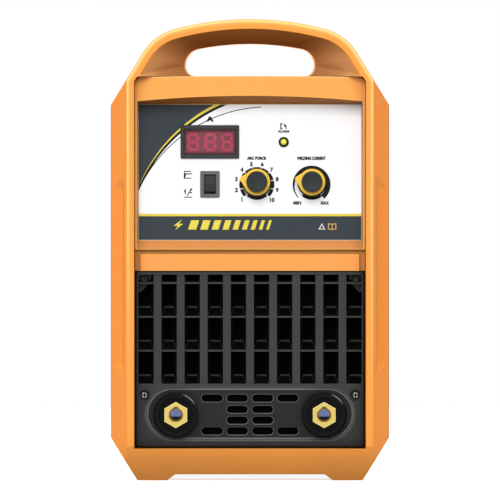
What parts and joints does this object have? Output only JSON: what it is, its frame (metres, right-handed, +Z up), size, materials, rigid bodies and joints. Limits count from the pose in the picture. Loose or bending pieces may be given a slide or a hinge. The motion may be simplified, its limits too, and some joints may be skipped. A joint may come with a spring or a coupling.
{
  "type": "stick welding inverter",
  "caption": "Portable stick welding inverter with hooped orange end frames, tilted control panel, louvred air grille and twist-lock output sockets.",
  "frame": {"origin": "middle of the base, under the centre of the case, on the plane of the feet", "axes": "+X to the right seen from the front, the control panel faces -Y, +Z up"},
  "size_m": [0.225, 0.43, 0.372],
  "materials": {
    "orange_plastic": "fine moulded grain",
    "black_plastic": "fine moulded grain",
    "grey_plastic": "satin",
    "yellow_plastic": "satin",
    "label_sheet": "satin print",
    "amber_lens": "gloss",
    "red_filter": "gloss",
    "display_block": "matt",
    "charcoal_paint": "powder coat",
    "zinc_steel": "zinc plated",
    "wire_chrome": "bright",
    "brass": "machined",
    "aluminium": "extruded",
    "copper_winding": "enamelled",
    "ferrite": "matt",
    "circuit_board": "solder mask"
  },
  "bodies": {
    "case": {"alarm_led": "amber_lens", "arc_force_potentiometer": "zinc_steel", "base_tray": "zinc_steel", "board_pillars": "zinc_steel", "board_standoffs": "zinc_steel", "breaker_body": "black_plastic", "bus_capacitors": "aluminium", "cable_gland": "black_plastic", "case_cover": "charcoal_paint", "choke_core": "ferrite", "choke_winding": "copper_winding", "control_board": "circuit_board", "control_label": "label_sheet", "cover_screws": "zinc_steel", "current_potentiometer": "zinc_steel", "dust_screens": "black_plastic", "earth_nuts": "zinc_steel", "earth_stud": "brass", "fan_frame": "black_plastic", "fan_guard": "wire_chrome", "fan_screws": "zinc_steel", "front_frame": "orange_plastic", "front_grille": "black_plastic", "front_grille_screws": "zinc_steel", "gland_nut": "black_plastic", "heatsink_left": "aluminium", "heatsink_right": "aluminium", "led_holder": "black_plastic", "meter_display": "display_block", "meter_housing": "black_plastic", "meter_window": "red_filter", "mode_switch_body": "black_plastic", "mode_switch_terminals": "zinc_steel", "output_busbars": "brass", "output_diodes": "black_plastic", "panel_bezel": "orange_plastic", "pot_nuts": "zinc_steel", "power_board": "circuit_board", "power_transistors": "black_plastic", "rear_frame": "orange_plastic", "rear_panel": "charcoal_paint", "rear_panel_screws": "zinc_steel", "socket_contact_left": "brass", "socket_contact_right": "brass", "socket_insulator_left": "black_plastic", "socket_insulator_right": "black_plastic", "socket_rear_nuts": "black_plastic", "transformer_core": "ferrite", "transformer_winding": "copper_winding"},
    "arc_force_dial": {"arc_force_knob": "black_plastic", "arc_force_pointer": "yellow_plastic", "arc_force_cap": "grey_plastic", "arc_force_shaft": "zinc_steel"},
    "current_dial": {"current_knob": "black_plastic", "current_pointer": "yellow_plastic", "current_cap": "grey_plastic", "current_shaft": "zinc_steel"},
    "mode_rocker": {"mode_switch_rocker": "black_plastic"},
    "power_lever": {"breaker_lever": "black_plastic"},
    "fan_wheel": {"fan_rotor": "black_plastic"}
  },
  "joints": [
    {"name": "arc_force_turn", "type": "hinge", "parent": "case", "child": "arc_force_dial", "pos_m": [0.0055, -0.19712, 0.2398], "axis": [0, -0.9956, 0.0941], "range_deg": [-213, 57]},
    {"name": "current_turn", "type": "hinge", "parent": "case", "child": "current_dial", "pos_m": [0.05, -0.19712, 0.2398], "axis": [0, -0.9956, 0.0941], "range_deg": [-213, 57]},
    {"name": "mode_switch_tilt", "type": "hinge", "parent": "case", "child": "mode_rocker", "pos_m": [-0.0323, -0.19623, 0.23861], "axis": [1, 0, 0], "range_deg": [0, 24]},
    {"name": "power_lever_swing", "type": "hinge", "parent": "case", "child": "power_lever", "pos_m": [0.048, 0.198, 0.25], "axis": [1, 0, 0], "range_deg": [0, 60]},
    {"name": "fan_spin", "type": "hinge", "parent": "case", "child": "fan_wheel", "pos_m": [0, 0.176, 0.105], "axis": [0, 1, 0], "continuous": true}
  ]
}
